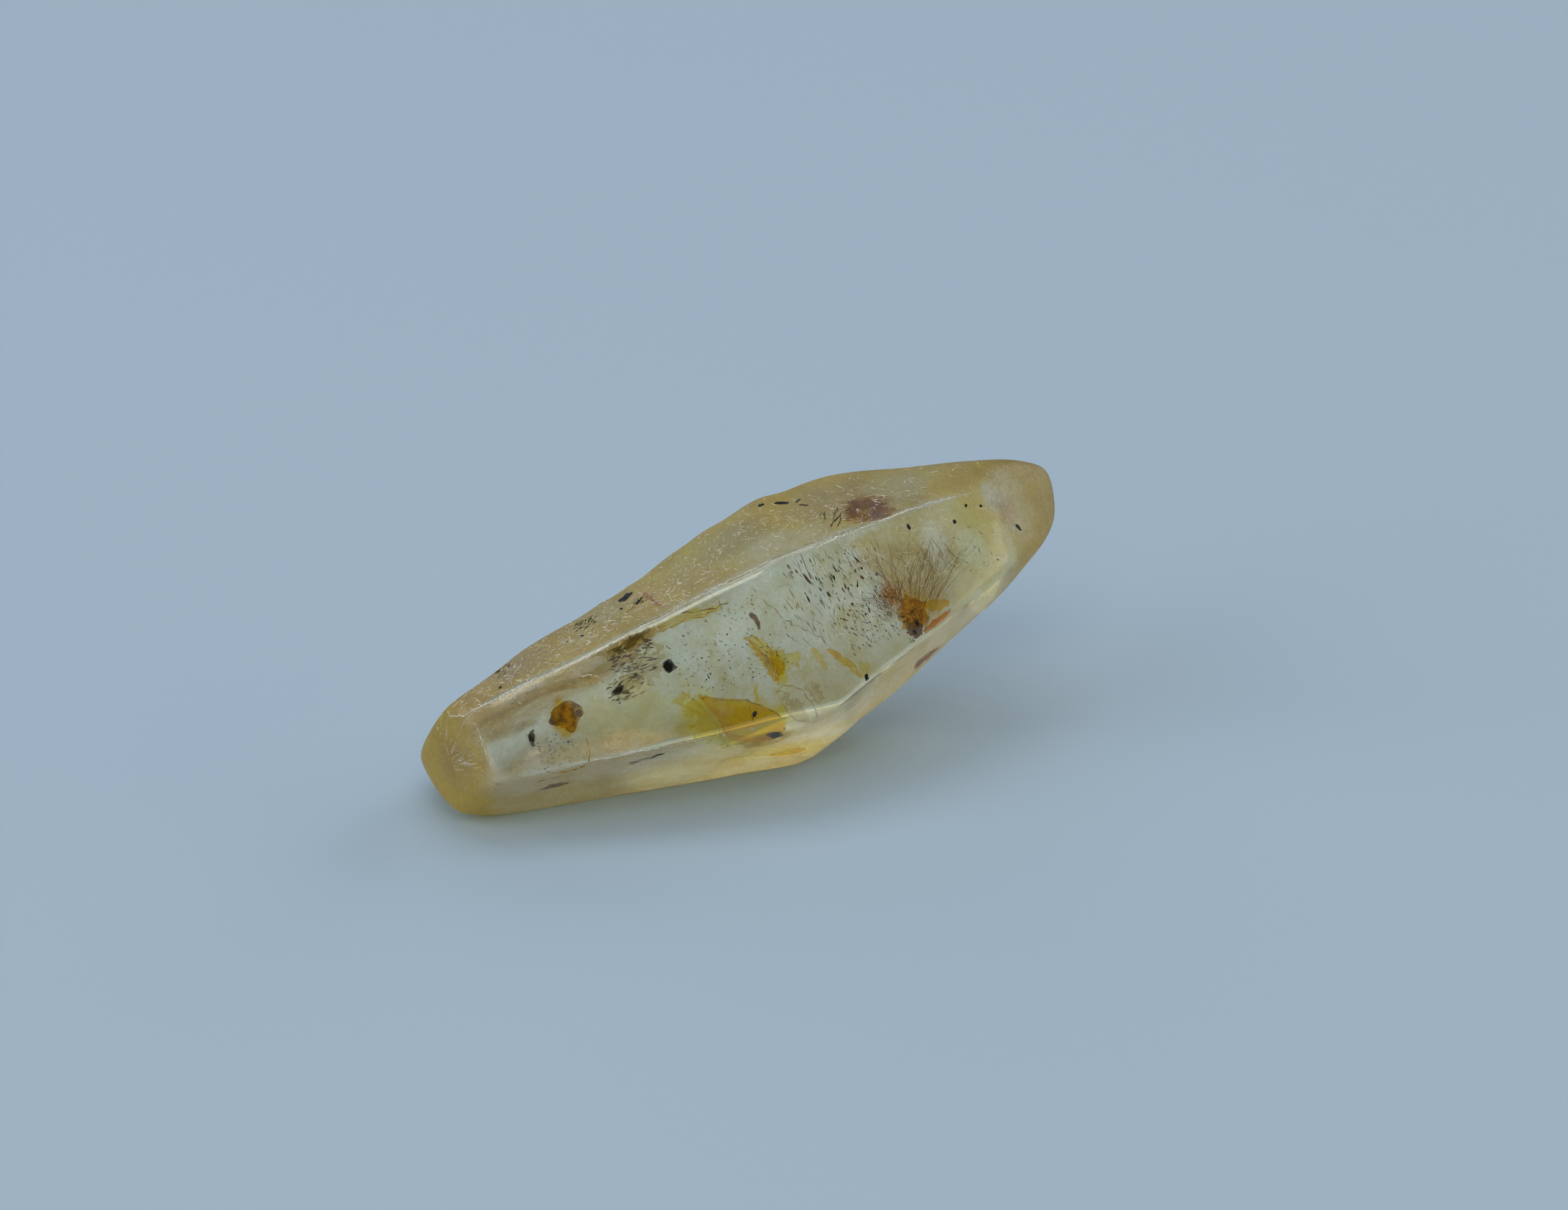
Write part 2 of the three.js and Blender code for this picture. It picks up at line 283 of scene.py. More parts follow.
ZONES = [  # along, turn, half length, half width, soft edge, colour, frost
    # the front face, left of the needles and round the amber film
    (-6.8, 49, 1.5, 0.5, 0.5, (1.0, 0.95, 0.68), 0.50),
    # painted reflection: this white zone and the first one on the next line paint the bright strip
    # between the upper ridge and the shelf
    (-4.6, 58.5, 0.75, 0.14, 0.4, (1.0, 1.0, 0.97), 0.42),
    (-6.4, 62, 0.9, 0.10, 0.4, (1.0, 1.0, 0.97), 0.42), (-6.6, 20, 1.3, 1.0, 0.6, (1.0, 1.0, 0.94), 0.16),
    (-4.0, 10, 1.7, 1.2, 0.5, (1.0, 0.92, 0.50), 0.24),
    (-0.7, -18, 1.2, 1.1, 0.25, (1.0, 0.80, 0.06), 0.14),
    (0.0, -38, 0.8, 0.6, 0.3, (1.0, 0.70, 0.0), 0.16), (-2.1, -2, 0.6, 0.9, 0.6, (1.0, 0.84, 0.12), 0.16),
    (-5.8, 32, 0.42, 0.6, 0.2, (0.85, 0.48, 0.02), 0.12),
    (-3.3, 59.5, 0.75, 0.16, 0.4, (0.66, 0.52, 0.10), 0.2),
    (0.7, 12, 0.2, 0.55, 0.4, (1.0, 0.80, 0.06), 0.12),
    (-5.6, -2, 1.6, 0.4, 0.6, (0.96, 0.92, 0.70), 0.24),
    # the front face, right of the needles
    (6.3, 36, 1.8, 1.9, 0.35, (0.74, 0.48, 0.17), 0.22),
    (4.95, 22, 0.35, 0.5, 0.5, (0.70, 0.34, 0.14), 0.14),
    (5.5, 3, 0.45, 0.5, 0.3, (0.90, 0.52, 0.08), 0.12),
    (6.6, 60, 1.9, 0.45, 0.5, (0.92, 0.72, 0.32), 0.28),
    (8.1, 10, 1.2, 1.3, 0.5, (1.0, 0.85, 0.38), 0.24), (8.5, 52, 0.7, 1.2, 0.5, (0.94, 0.70, 0.18), 0.24),
    (8.0, 27, 0.5, 0.6, 0.4, (1.0, 0.95, 0.50), 0.36), (7.0, 42, 0.35, 0.8, 0.6, (1.0, 0.94, 0.70), 0.36),
    # painted highlight: a white band on the upper ridge
    (4.4, 66, 0.9, 0.2, 0.5, (1.0, 1.0, 0.9), 0.40),
    # the low strip and the edge over it
    (-6.62, -38, 0.3, 0.25, 0.4, (0.58, 0.38, 0.24), 0.36),
    (-7.6, -16, 1.0, 0.8, 0.5, (1.0, 1.0, 1.0), 0.42), (-5.0, -26, 2.4, 0.9, 0.6, (1.0, 1.0, 1.0), 0.42),
    (2.6, -44, 1.8, 1.2, 0.6, (1.0, 1.0, 0.96), 0.36),
    (6.0, -32, 1.6, 0.9, 0.5, (0.93, 0.84, 0.60), 0.36),
    (0.4, -62, 1.6, 0.5, 0.6, (1.0, 0.82, 0.20), 0.36),
    (6.15, -8, 0.55, 0.12, 0.3, (0.90, 0.40, 0.04), 0.20),
    # the top band and the tips
    (-5.0, 80, 1.4, 0.8, 0.6, (0.94, 0.74, 0.22), 0.44),
    (5.2, 96, 1.8, 1.0, 0.6, (0.74, 0.55, 0.19), 0.44),
    (9.0, 92, 1.2, 1.2, 0.6, (0.96, 0.72, 0.14), 0.44),
    (10.0, 60, 0.6, 1.1, 0.4, (1.0, 0.88, 0.66), 0.50),
    (-6.4, 90, 0.9, 0.6, 0.6, (0.70, 0.58, 0.34), 0.44),
    (-8.0, 84, 0.7, 0.7, 0.5, (0.98, 0.72, 0.20), 0.44),
    (-3.2, 102, 1.0, 0.7, 0.6, (0.80, 0.64, 0.24), 0.42),
    (-1.9, 82, 0.7, 0.9, 0.5, (1.0, 0.70, 0.16), 0.42),
    (-0.3, 84, 0.8, 0.9, 0.6, (0.84, 0.60, 0.16), 0.42),
    (1.4, 92, 1.0, 0.8, 0.6, (0.66, 0.52, 0.20), 0.42), (2.4, 74, 1.4, 0.5, 0.6, (1.0, 0.95, 0.66), 0.40),
    (6.9, 92, 0.9, 0.8, 0.6, (0.80, 0.68, 0.32), 0.42),
    (8.3, 82, 0.8, 0.6, 0.5, (0.98, 0.66, 0.10), 0.44),
    (5.5, 84, 0.75, 0.55, 0.3, (0.47, 0.21, 0.02), 0.40),
    (-9.3, 18, 0.5, 0.9, 0.6, (0.72, 0.54, 0.07), 0.50),
    # painted glint: a small light spot in the red stain
    (5.45, 80, 0.12, 0.15, 0.3, (1.0, 0.92, 0.74), 0.40),
    # painted glint: a white, glassy patch on the right tip
    (9.4, 66, 0.3, 0.4, 0.4, (1.0, 1.0, 0.96), 0.50),
    # near black over the dark grains
    (-4.03, 35, 0.24, 0.12, 0.3, (0.10, 0.09, 0.07), 0.16),
    (-6.98, 26, 0.08, 0.14, 0.2, (0.08, 0.07, 0.05), 0.12),
    (-2.36, 36, 0.14, 0.16, 0.1, (0.05, 0.04, 0.03), 0.12),
    (0.19, -35, 0.16, 0.24, 0.1, (0.05, 0.04, 0.03), 0.2)]
FAN_ROOT, FAN_COLOUR = (5.3, -2), (0.50, 0.32, 0.11)  # brown streaks that spread under the right face


def mottle(points, size, seed, count=20):
    """Random smooth field of about -1 to 1: a sum of plane waves of random direction and
    phase, with lengths near size."""
    rng = np.random.default_rng(seed)
    waves = rng.normal(size=(count, 3))
    drawn = np.linalg.norm(waves, axis=1)[:, None]
    waves *= 2 * math.pi / size * rng.uniform(0.6, 1.6, (count, 1)) / drawn
    return np.sin(points @ waves.T + rng.uniform(0, 2 * math.pi, count)).sum(-1) / 5


def crystal_place(points):
    """Along, turn and girth of points: their share along the axis, angle round it in
    degrees and distance from it."""
    along, front, top = ((points - CENTRE) @ crystal_axes.T).T
    return along, np.degrees(np.arctan2(top, front)), np.hypot(front, top)


def paint_skin(points):
    """Colour and frost of the skin: the clear ground, crossed by the bands between the ridges
    and the tips, then by each zone, an ellipse on the skin with a soft, ragged edge, and by
    the fan, whose streaks are a random wave of the bearing from its root. Along a bell-shaped
    line the upper ridge is rubbed glossy and painted white, a painted highlight."""
    along, turn, girth = crystal_place(points)
    ragged = 0.6 * mottle(points, 1.6, 3) + 0.4 * mottle(points, 0.5, 4)
    upper = np.interp(along, *np.array(UPPER_RIDGE).T)
    lower = np.interp(along, *np.array(LOWER_RIDGE).T)
    past_top = smooth_step(turn, TOP_BAND_ENDS[0] + 8 * ragged, TOP_BAND_ENDS[1])
    behind = np.maximum(past_top, smooth_step(-turn, STRIP_ENDS[0], STRIP_ENDS[1] + 8 * ragged))
    masks = {
        "top": smooth_step(turn, upper - 1, upper + 7) * (1 - past_top),
        "strip": smooth_step(-turn, -lower, 6 - lower) * (1 - behind),
        "back": behind,
        "left_tip": smooth_step(-along - 0.15 * ragged, LEFT_TIP_BEGINS - 0.8 * behind,
                                LEFT_TIP_FULL + 0.8 * behind),
        "right_tip": smooth_step(along + 0.2 * ragged, RIGHT_TIP_BEGINS - 0.8 * behind,
                                 RIGHT_TIP_FULL + 0.6 * behind)}
    colour = np.broadcast_to(np.array(CLEAR, float), points.shape).copy()
    frost = np.full(along.shape, float(CLEAR_FROST))
    for band, mask in masks.items():
        band_colour, band_frost = BANDS[band]
        colour += mask[:, None] * (np.array(band_colour) - colour)
        frost += mask * (band_frost - frost)
    for place, angle, long, wide, soft, zone_colour, zone_frost in ZONES:
        distance = np.hypot((along - place) / long, width_between(turn, angle, girth) / wide)
        mask = 1 - smooth_step(distance + 0.25 * ragged, 1 - soft, 1 + soft)
        colour += mask[:, None] * (np.array(zone_colour) - colour)
        frost += mask * (zone_frost - frost)
    x, y = along - FAN_ROOT[0], width_between(turn, FAN_ROOT[1], girth)
    out, bearing = np.hypot(x, y), np.degrees(np.arctan2(y, x))
    streak = mottle(np.stack([bearing * 0.06, 0.25 * out, 0 * out], -1), 0.55, 9)
    fan = smooth_step(streak, -0.2, 0.9) * smooth_step(bearing, 24, 46) * smooth_step(-bearing, -112, -88)
    fan *= smooth_step(out, 0.1, 0.5) * (1 - smooth_step(out + 0.5 * ragged, 1.6, 2.8)) * (girth > 0)
    colour += 0.8 * fan[:, None] * (np.array(FAN_COLOUR) - colour)
    # painted highlight: a thin white line along the upper ridge, which is also made glossy there
    gloss_and_highlight = np.exp(-(width_between(turn, upper + 1, girth) / GLOSS_AND_HIGHLIGHT_WIDTH) ** 2)
    gloss_and_highlight *= smooth_step(9 - np.abs(along), 0, 2)
    colour += gloss_and_highlight[:, None] * (1 - colour)
    frost += gloss_and_highlight * (POLISHED_FROST - frost)
    return colour, frost


skin_points = np.concatenate([skin_rings.reshape(-1, 3), tips])
skin_colour, skin_frost = paint_skin(skin_points)
colour_layer = crystal_mesh.attributes.new("skin_colour", "FLOAT_COLOR", "POINT")
colour_layer.data.foreach_set("color", np.concatenate(
    [skin_colour, np.ones((len(skin_colour), 1))], 1).ravel().astype(np.float32))
frost_layer = crystal_mesh.attributes.new("frost", "FLOAT", "POINT")
frost_layer.data.foreach_set("value", skin_frost.astype(np.float32))


def combine(tree, operation, *values):
    """A Math node on sockets or numbers."""
    node = tree.nodes.new("ShaderNodeMath")
    node.operation = operation
    for slot, value in zip(node.inputs, values):
        if isinstance(value, (int, float)):
            slot.default_value = value
        else:
            tree.links.new(value, slot)
    return node.outputs["Value"]


def new_effect(name, values, detail):
    """A node group that makes a Mask of noise at a Vector and a Scale, and of some values."""
    group = bpy.data.node_groups.new(name, "ShaderNodeTree")
    for socket in ("Vector", "Scale", *values):
        kind = "NodeSocketVector" if socket == "Vector" else "NodeSocketFloat"
        group.interface.new_socket(socket, in_out="INPUT", socket_type=kind)
    group.interface.new_socket("Mask", in_out="OUTPUT", socket_type="NodeSocketFloat")
    group_in, group_out = group.nodes.new("NodeGroupInput"), group.nodes.new("NodeGroupOutput")
    noise = group.nodes.new("ShaderNodeTexNoise")
    noise.inputs["Detail"].default_value = detail
    for socket in ("Vector", "Scale"):
        group.links.new(group_in.outputs[socket], noise.inputs[socket])
    return group, group_in, noise, group_out


def end_effect(group, group_in, height, ends, group_out):
    """The Mask is a smooth step of the height between its ends, of which some are values."""
    step = group.nodes.new("ShaderNodeMapRange")
    step.interpolation_type = "SMOOTHSTEP"
    group.links.new(height, step.inputs["Value"])
    for end, value in ends.items():
        group.links.new(group_in.outputs[value], step.inputs[end])
    group.links.new(step.outputs["Result"], group_out.inputs["Mask"])
    return step


# Two shared effects: blotches are patches of noise, and hairlines are the curled lines where
# noise crosses its middle value.
blotches, group_in, noise, group_out = new_effect("blotches", ("Low", "High"), detail=5)
noise.inputs["Roughness"].default_value = 0.6
end_effect(blotches, group_in, noise.outputs["Fac"], {"From Min": "Low", "From Max": "High"}, group_out)

hairlines, group_in, noise, group_out = new_effect("hairlines", ("Width",), detail=2)
noise.inputs["Distortion"].default_value = 1.6
apart = combine(hairlines, "ABSOLUTE", combine(hairlines, "SUBTRACT", noise.outputs["Fac"], 0.5))
thin = end_effect(hairlines, group_in, apart, {"From Max": "Width"}, group_out)
thin.inputs["To Min"].default_value = 1
thin.inputs["To Max"].default_value = 0


def add_effect(tree, effect, vector, size, **values):
    """A shared effect's node in a tree, for noise of a size in millimetres."""
    node = tree.nodes.new("ShaderNodeGroup")
    node.node_tree = effect
    node.inputs["Scale"].default_value = 1 / (size * MM)
    for socket, value in values.items():
        node.inputs[socket].default_value = value
    tree.links.new(vector, node.inputs["Vector"])
    return node.outputs["Mask"]


def add_stain(tree, colour, mask, tint):
    """A colour multiplied by a tint where the mask is 1."""
    node = tree.nodes.new("ShaderNodeMix")
    node.data_type = "RGBA"
    node.blend_type = "MULTIPLY"
    node.inputs["B"].default_value = (*tint, 1)
    tree.links.new(mask, node.inputs["Factor"])
    tree.links.new(colour, node.inputs["A"])
    return node.outputs["Result"]


sapphire, tree, shader = new_material("sapphire")
shader.inputs["IOR"].default_value = 1.77
shader.inputs["Transmission Weight"].default_value = 0.9
absorption = tree.nodes.new("ShaderNodeVolumeAbsorption")
absorption.inputs["Color"].default_value = (1.0, 0.90, 0.54, 1)
absorption.inputs["Density"].default_value = 55
tree.links.new(absorption.outputs["Volume"], tree.nodes["Material Output"].inputs["Volume"])
place = tree.nodes.new("ShaderNodeTexCoord").outputs["Object"]
painted = tree.nodes.new("ShaderNodeAttribute")
painted.attribute_name = "skin_colour"
etched = tree.nodes.new("ShaderNodeAttribute")
etched.attribute_name = "frost"
silk = add_effect(tree, blotches, place, 0.12, Low=0.45, High=0.65)
curls = add_effect(tree, hairlines, place, 0.3, Width=0.03)
fine_curls = add_effect(tree, hairlines, place, 0.35, Width=0.035)
broad = add_effect(tree, blotches, place, 0.9, Low=0.40, High=0.70)
tint = add_stain(tree, painted.outputs["Color"], broad, (0.84, 0.74, 0.48))
tint = add_stain(tree, tint, silk, (0.88, 0.85, 0.72))
MATT_FROM, MATT_SLOPE = 0.28, 6  # skin frostier than this is pitted and stained
matt = combine(tree, "MULTIPLY", combine(tree, "SUBTRACT", etched.outputs["Fac"], MATT_FROM), MATT_SLOPE)
matt.node.use_clamp = True
tint = add_stain(tree, tint, combine(tree, "MULTIPLY", matt, curls), (0.90, 0.83, 0.62))
tree.links.new(tint, shader.inputs["Base Color"])
fine_etch = add_effect(tree, blotches, place, 0.25, Low=0.3, High=0.7)
uneven = combine(tree, "MULTIPLY_ADD", fine_etch, 0.3, 0.85)
tree.links.new(combine(tree, "MULTIPLY", etched.outputs["Fac"], uneven), shader.inputs["Roughness"])
dents = tree.nodes.new("ShaderNodeBump")
dents.inputs["Strength"].default_value = 0.6
dents.inputs["Distance"].default_value = 0.02 * MM
carved = combine(tree, "ADD", fine_etch, fine_curls)
tree.links.new(combine(tree, "MULTIPLY", matt, carved), dents.inputs["Height"])
tree.links.new(dents.outputs["Normal"], shader.inputs["Normal"])
crystal = add_piece("crystal", crystal_mesh, sapphire)
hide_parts("sapphire_crystal")

# ---- Films of iron stain
# Thin flakes of limonite and rust that filled cracks just under the skin: one broad amber
# film low on the front, small yellow flakes, a rusty blot, and red and olive stains. A few
# milky white veils under the upper ridge and on the right tip are painted reflections and glints.
FILMS = {  # name: depth, thickness, ragged edge, stain, outline as (along, turn)
    "amber_film": (0.20, 0.06, 0.03, "amber", [
        (-2.0, 11), (-1.75, 8.5), (-1.49, 5), (-1.0, 1.5), (-0.56, -1), (-0.31, -4), (0.15, -10),
        (0.45, -17), (0.56, -28), (0.48, -42), (-0.2, -44), (-0.9, -38), (-1.4, -22), (-1.6, -8),
        (-1.8, 2)]),
    "amber_haze": (0.26, 0.05, 0.06, "honey", [
        (-2.8, 27), (-2.42, 18), (-2.0, 9.5), (-1.5, 4), (-1.1, -6), (-0.9, -34), (0.3, -46), (-0.8, -50),
        (-1.9, -28), (-2.5, -14), (-2.6, 2), (-2.8, 16)]),
    "rust_blot": (0.10, 0.10, 0.03, "blot", [
        (-6.15, 42), (-5.9, 45), (-5.55, 44), (-5.35, 38), (-5.27, 30), (-5.4, 26), (-5.6, 24),
        (-5.75, 17), (-5.95, 17), (-6.1, 26), (-6.38, 30), (-6.35, 36)]),
    "yellow_flake": (0.18, 0.05, 0.03, "amber", [
        (0.20, 33), (0.45, 22), (0.62, 16), (0.95, 14), (1.0, 7), (0.82, 5), (0.52, 1), (0.42, 9),
        (0.30, 20)]),
    "flake_haze": (0.24, 0.04, 0.08, "straw", [
        (0.1, 38), (0.6, 30), (0.9, 18), (1.7, 14), (1.5, 6), (1.0, 3), (0.6, 0), (0.35, 10)]),
    "small_flake": (0.16, 0.04, 0.02, "amber", [
        (2.38, 9), (2.6, 7), (3.1, -4), (3.2, -12), (3.05, -10), (2.6, 1)]),
    "small_flake_head": (0.18, 0.03, 0.03, "straw", [
        (3.2, -4), (3.5, -6), (3.65, -11), (3.35, -13), (3.15, -11)]),
    "small_flake_tail": (0.18, 0.03, 0.04, "straw", [
        (1.9, 13), (2.1, 12), (2.3, 2), (2.2, -3), (2.0, 4)]),
    "spike_flake": (0.14, 0.03, 0.02, "amber", [
        (-0.08, 7), (-0.12, 2), (-0.22, -3), (-0.33, -3), (-0.24, 2)]),
    "olive_stain": (0.06, 0.04, 0.05, "olive", [
        (-4.1, 61.5), (-3.3, 62.5), (-2.7, 62.5), (-2.2, 61.5), (-2.8, 58.5), (-3.4, 57), (-3.8, 58)]),
    "lace_haze": (0.22, 0.03, 0.12, "tan", [
        (-4.1, 60), (-2.7, 57), (-2.3, 48), (-2.7, 34), (-3.4, 26), (-4.3, 28), (-4.4, 40), (-3.9, 50)]),
    "red_stain": (0.03, 0.05, 0.12, "red", [
        (5.2, 95), (4.85, 84), (4.56, 73), (5.3, 71), (6.3, 71), (6.35, 78), (5.9, 87), (5.6, 92)]),
    "right_rust": (0.10, 0.06, 0.10, "ember", [
        (5.0, 12), (5.5, 15), (5.95, 8), (6.0, -4), (5.7, -9), (5.3, -10), (5.1, -3)]),
    "rust_fan": (0.08, 0.04, 0.12, "cinder", [
        (4.6, 24), (4.9, 28), (5.3, 24), (5.4, 14), (5.1, 12), (4.8, 17)]),
    "rust_streak": (0.10, 0.04, 0.03, "orange", [
        (5.6, -8), (6.0, -7), (6.7, -6), (6.75, -8), (6.1, -10), (5.6, -10.5)]),
    "yellow_streak": (0.16, 0.03, 0.05, "amber", [(5.9, 3), (6.4, 4), (6.9, -2), (6.7, -5), (6.2, -4)]),
    "tan_flake": (0.10, 0.03, 0.05, "tan", [
        (0.3, -1), (0.8, -2), (1.1, -10), (1.2, -21), (1.4, -32), (0.9, -24), (0.5, -12)]),
    "pink_flake": (0.12, 0.03, 0.06, "tan", [(1.3, -2), (1.7, -2), (1.8, -8), (1.5, -12), (1.25, -8)]),
    "orange_spot": (0.02, 0.03, 0.02, "orange", [(3.52, 90), (3.7, 89), (3.85, 86), (3.68, 86)]),
    "orange_vein": (0.03, 0.03, 0.04, "orange", [
        (-1.95, 96), (-1.8, 94), (-1.75, 80), (-1.6, 70), (-1.75, 68), (-1.9, 78)]),
    "brown_spot": (0.06, 0.05, 0.03, "dark_rust", [
        (0.50, 44), (0.60, 46), (0.74, 42), (0.66, 38), (0.72, 34), (0.56, 34), (0.6, 39)]),
    "low_stain": (0.04, 0.04, 0.12, "red", [
        (-7.1, -38), (-6.5, -34), (-6.3, -40), (-6.6, -48), (-7.1, -46)]),
    "low_orange": (0.08, 0.03, 0.05, "straw", [(0.0, -66), (1.2, -60), (1.5, -64), (0.4, -72)]),
    "keel_stain": (0.2, 0.04, 0.12, "red", [(5.4, -42), (6.0, -40), (6.4, -46), (6.0, -52), (5.5, -50)]),
    "olive_wedge": (0.08, 0.03, 0.06, "straw", [
        (-2.8, 62), (-1.5, 61.5), (-0.4, 58.5), (0.1, 55), (-0.6, 54), (-1.4, 56), (-2.4, 57)]),
    "shelf_stain": (0.03, 0.03, 0.03, "shelf", [
        (-8.25, 54), (-7.6, 59.5), (-6.9, 62.6), (-6.5, 63), (-6.0, 60.6), (-5.3, 58.4), (-4.86, 55.5),
        (-4.3, 47), (-4.35, 44), (-4.95, 52), (-5.4, 55), (-6.0, 57.5), (-6.6, 60.2), (-7.0, 60),
        (-7.7, 56.4), (-8.2, 50)]),
    "rust_grit": (0.06, 0.04, 0.05, "dark_rust", [
        (5.1, -2), (5.5, 0), (5.65, -7), (5.35, -10), (5.1, -7)]),
    "blot_edge": (0.04, 0.04, 0.02, "dark_rust", [
        (-5.5, 33), (-5.38, 34), (-5.28, 31), (-5.34, 27), (-5.5, 28)]),
    "blot_foot": (0.04, 0.04, 0.02, "dark_rust", [
        (-6.36, 35), (-6.22, 36), (-6.15, 32), (-6.22, 29), (-6.36, 31)]),
    # painted reflections: two milky white veils under the upper ridge
    "upper_reflection_veil": (0.05, 0.03, 0.02, "painted_reflection", [
        (-5.35, 60.5), (-4.9, 61), (-4.4, 60.5), (-4.0, 59.5), (-3.95, 57), (-4.35, 56), (-4.8, 57),
        (-5.3, 58.8)]),
    "corner_reflection_veil": (0.05, 0.03, 0.02, "painted_reflection", [
        (-6.75, 62.5), (-6.3, 64), (-5.8, 63.5), (-5.7, 62.3), (-6.2, 61), (-6.7, 61)]),
    # painted glint: a milky white veil on the right tip
    "tip_glint_veil": (0.04, 0.03, 0.04, "painted_reflection", [(9.25, 72), (9.6, 74), (9.8, 66), (9.55, 54), (9.25, 58)]),
    "tip_rind": (0.06, 0.03, 0.08, "pink", [
        (9.5, 78), (10.0, 76), (10.2, 58), (10.1, 36), (9.7, 26), (9.4, 45)])}

MM_PER_DEGREE, DEGREES_PER_MM = 0.055, 16  # round the stone, about


def surface_at(along, turn, depth):
    """Point at a place on the axis and an angle round it, less depth towards the centre. The
    u that gives the place is found by halving its range 26 times."""
    along, turn, depth = np.broadcast_arrays(
        np.asarray(along, float), np.asarray(turn, float), np.asarray(depth, float))
    low, high = np.zeros(along.shape), np.full(along.shape, math.pi)
    angle = np.radians(turn)
    for _ in range(26):
        middle = (low + high) / 2
        short = (crystal_surface(middle, angle) - CENTRE) @ along_axis < along
        low, high = np.where(short, middle, low), np.where(short, high, middle)
    return crystal_surface((low + high) / 2, angle, depth)


def film_mesh(name, outline, depth, thickness, ragged, seed):
    """A lens as thin as a flake: its ragged outline shrinks to the middle in rings, on an
    upper and a lower sheet that part by the thickness times one less the share out squared.
    The outline runs counterclockwise, or is turned round, so that the faces point outwards."""
    corners = np.array(outline, float)
    ahead = np.roll(corners, -1, axis=0)
    if np.sum(corners[:, 0] * ahead[:, 1] - ahead[:, 0] * corners[:, 1]) < 0:
        corners = corners[::-1]
        ahead = np.roll(corners, -1, axis=0)
    sides, rings = 16 * len(corners), 14
    share = np.linspace(0, len(corners), sides, endpoint=False)
    corner, part = share.astype(int), (share % 1)[:, None]
    rim = corners[corner] * (1 - part) + ahead[corner] * part
    rim = (rim + np.roll(rim, 5, axis=0) + np.roll(rim, -5, axis=0)) / 3
    wave = np.stack([rim[:, 0], rim[:, 1] * MM_PER_DEGREE, np.zeros(sides)], -1)
    rim[:, 0] += ragged * mottle(wave, 0.3, seed)
    rim[:, 1] += ragged * DEGREES_PER_MM * mottle(wave, 0.3, seed + 1)
    middle = rim.mean(0)
    out = np.linspace(0, 1, rings + 1)[1:]
    spread = middle + out[:, None, None] * (rim - middle)
    lift = thickness * (1 - out ** 2)[:, None]
    upper = surface_at(spread[..., 0], spread[..., 1], depth - lift / 2)
    lower = surface_at(spread[:-1, :, 0], spread[:-1, :, 1], depth + lift[:-1] / 2)
    poles = surface_at(middle[0], middle[1], depth + np.array([-0.5, 0.5]) * thickness)
    shells = np.concatenate([upper, lower[::-1]])
    edge = np.concatenate([out, out[:-1][::-1]])
    mesh = closed_grid_mesh(name, shells, poles[0], poles[1])
    layer = mesh.attributes.new("edge", "FLOAT", "POINT")
    values = np.concatenate([np.repeat(edge, sides), [0, 0]])
    layer.data.foreach_set("value", values.astype(np.float32))
    return mesh


def two_tone(tree, place, deep, pale, size):
    """Two colours that alternate in blotches of a size."""
    colour = tree.nodes.new("ShaderNodeMix")
    colour.data_type = "RGBA"
    colour.inputs["A"].default_value = (*deep, 1)
    colour.inputs["B"].default_value = (*pale, 1)
    tree.links.new(add_effect(tree, blotches, place, size, Low=0.35, High=0.65), colour.inputs["Factor"])
    return colour.outputs["Result"]


def film_material(name, deep, pale, size, cover, alpha, see_through):
    """Stain in two colours that alternate in blotches. It thins out in smaller blotches
    towards its edge, where cover says how soon."""
    material, tree, shader = new_material(name)
    shader.inputs["Roughness"].default_value = 0.12
    shader.inputs["Transmission Weight"].default_value = see_through
    shader.inputs["IOR"].default_value = 1.05
    place = tree.nodes.new("ShaderNodeTexCoord").outputs["Object"]
    tree.links.new(two_tone(tree, place, deep, pale, size), shader.inputs["Base Color"])
    edge = tree.nodes.new("ShaderNodeAttribute")
    edge.attribute_name = "edge"
    fade = combine(tree, "SUBTRACT", cover, edge.outputs["Fac"])
    lace = add_effect(tree, blotches, place, size * 0.5, Low=0.3, High=0.7)
    thinning = combine(tree, "ADD", fade, lace)
    sharp = combine(tree, "MULTIPLY", thinning, 4)
    sharp.node.use_clamp = True
    tree.links.new(combine(tree, "MULTIPLY", sharp, alpha), shader.inputs["Alpha"])
    return material


